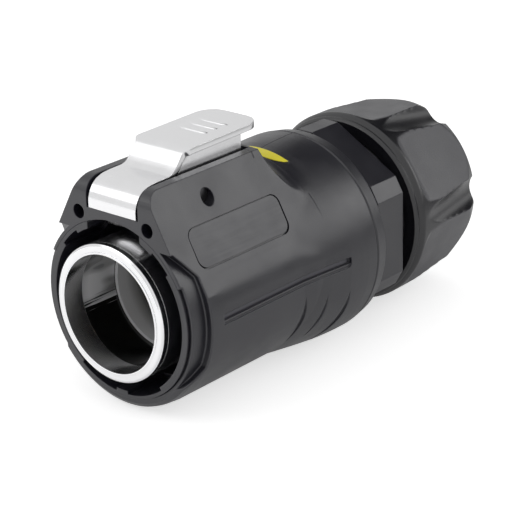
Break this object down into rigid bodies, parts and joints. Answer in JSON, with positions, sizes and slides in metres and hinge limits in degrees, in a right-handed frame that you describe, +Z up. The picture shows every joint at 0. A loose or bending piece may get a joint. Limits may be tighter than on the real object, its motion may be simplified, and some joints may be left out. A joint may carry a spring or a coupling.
{
  "type": "push pull circular connector",
  "caption": "Round push pull cable connector with a nickel press latch on top, a keyed mating end with a bright front ring, and a hex back body with a fluted cable gland nut.",
  "frame": {"origin": "on the connector axis, in the plane of the front ring's face", "axes": "+Y along the axis towards the cable end, +Z up through the latch, +X across"},
  "size_m": [0.0362, 0.0793, 0.0424],
  "materials": {
    "shell_black": "satin",
    "collar_black": "satin",
    "sleeve_black": "gloss",
    "ring_nickel": "satin nickel",
    "insert_black": "matte",
    "contact_gold": "plated",
    "plain_steel": "plain",
    "seal_rubber": "matte",
    "latch_nickel": "satin nickel",
    "mark_yellow": "satin",
    "plate_black": "satin",
    "gland_black": "fine textured"
  },
  "bodies": {
    "housing": {"outer_shell": "shell_black", "coupling_collar": "collar_black", "mating_sleeve": "sleeve_black", "front_ring": "ring_nickel", "contact_insert": "insert_black", "contacts": "contact_gold", "insert_stop": "plain_steel", "clamp_tube": "insert_black", "interface_seal": "seal_rubber", "latch_pin": "plain_steel", "latch_spring": "plain_steel", "index_mark": "mark_yellow", "name_plate": "plate_black", "end_ring": "shell_black", "back_body": "gland_black", "back_seal": "seal_rubber", "gland_seal": "seal_rubber", "gland_claw": "gland_black"},
    "latch": {"latch_lever": "latch_nickel"},
    "nut_ring": {"gland_washer": "plain_steel"},
    "nut": {"gland_nut": "gland_black"}
  },
  "joints": [
    {"name": "latch_press", "type": "hinge", "parent": "housing", "child": "latch", "pos_m": [0, 0.01395, 0.0175], "axis": [-1, 0, 0], "range_deg": [0, 8], "stiffness_Nm_per_rad": 0.6, "springref_deg": -5.73, "deforming": ["latch_spring"]},
    {"name": "nut_advance", "type": "slide", "parent": "housing", "child": "nut_ring", "axis": [0, 1, 0], "range_m": [0, 0.0045]},
    {"name": "nut_turn", "type": "hinge", "parent": "nut_ring", "child": "nut", "pos_m": [0, 0.0587, 0], "axis": [0, 1, 0], "range_deg": [0, 1079]}
  ],
  "couplings": [
    {"joint": "nut_advance", "follows": "nut_turn", "m_per_rad": 0.00023873}
  ]
}
